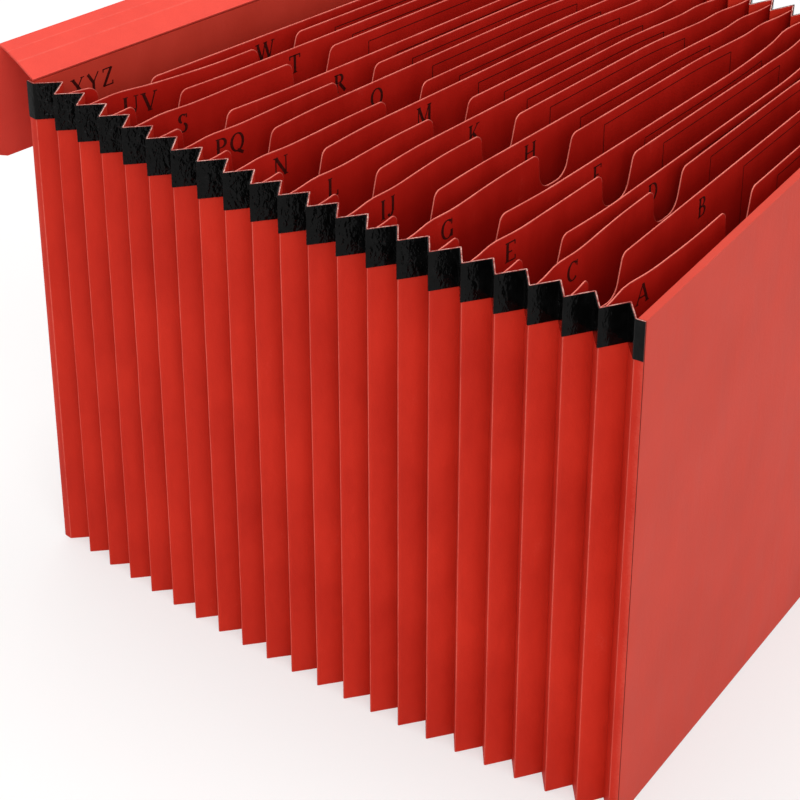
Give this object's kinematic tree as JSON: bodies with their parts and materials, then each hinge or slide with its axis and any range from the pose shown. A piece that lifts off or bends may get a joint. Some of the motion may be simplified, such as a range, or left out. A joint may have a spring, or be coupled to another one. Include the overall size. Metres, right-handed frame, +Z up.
{
  "type": "expanding document file",
  "caption": "Open-top expanding document file with pleated sides, notched divider leaves between two stiff boards, taped side edges and a scored flap folded back behind the rear board.",
  "frame": {"origin": "middle of the whole file's footprint, on the surface it stands on", "axes": "+X across the file from the more open side to the less open side, +Y from the front board to the back board, +Z up"},
  "size_m": [0.319, 0.3782, 0.2648],
  "materials": {
    "greyboard": "raw",
    "cover_paper": "matte",
    "flap_card": "matte",
    "pleat_paper": "matte",
    "leaf_card": "matte",
    "edge_tape": "gloss"
  },
  "bodies": {
    "file_body": {"front_board_core": "greyboard", "back_board_core": "greyboard", "front_cover_paper": "cover_paper", "back_cover_paper": "cover_paper", "left_gusset": "pleat_paper", "right_gusset": "pleat_paper", "bottom_gusset": "pleat_paper", "left_edge_tape": "edge_tape", "right_edge_tape": "edge_tape", "divider_leaf_01": "leaf_card", "divider_leaf_02": "leaf_card", "divider_leaf_03": "leaf_card", "divider_leaf_04": "leaf_card", "divider_leaf_05": "leaf_card", "divider_leaf_06": "leaf_card", "divider_leaf_07": "leaf_card", "divider_leaf_08": "leaf_card", "divider_leaf_09": "leaf_card", "divider_leaf_10": "leaf_card", "divider_leaf_11": "leaf_card", "divider_leaf_12": "leaf_card", "divider_leaf_13": "leaf_card", "divider_leaf_14": "leaf_card", "divider_leaf_15": "leaf_card", "divider_leaf_16": "leaf_card", "divider_leaf_17": "leaf_card", "divider_leaf_18": "leaf_card", "divider_leaf_19": "leaf_card", "divider_leaf_20": "leaf_card"},
    "flap_spine": {"cover_flap_spine": "flap_card"},
    "flap_panel": {"cover_flap_panel": "flap_card"}
  },
  "joints": [
    {"name": "flap_hinge", "type": "hinge", "parent": "file_body", "child": "flap_spine", "pos_m": [0.00392, 0.13098, 0.2548], "axis": [0.9914, -0.1305, 0], "range_deg": [0, 154]},
    {"name": "flap_panel_crease", "type": "hinge", "parent": "flap_spine", "child": "flap_panel", "pos_m": [0.0072, 0.15592, 0.26446], "axis": [0.9914, -0.1305, 0], "range_deg": [0, 104]}
  ]
}
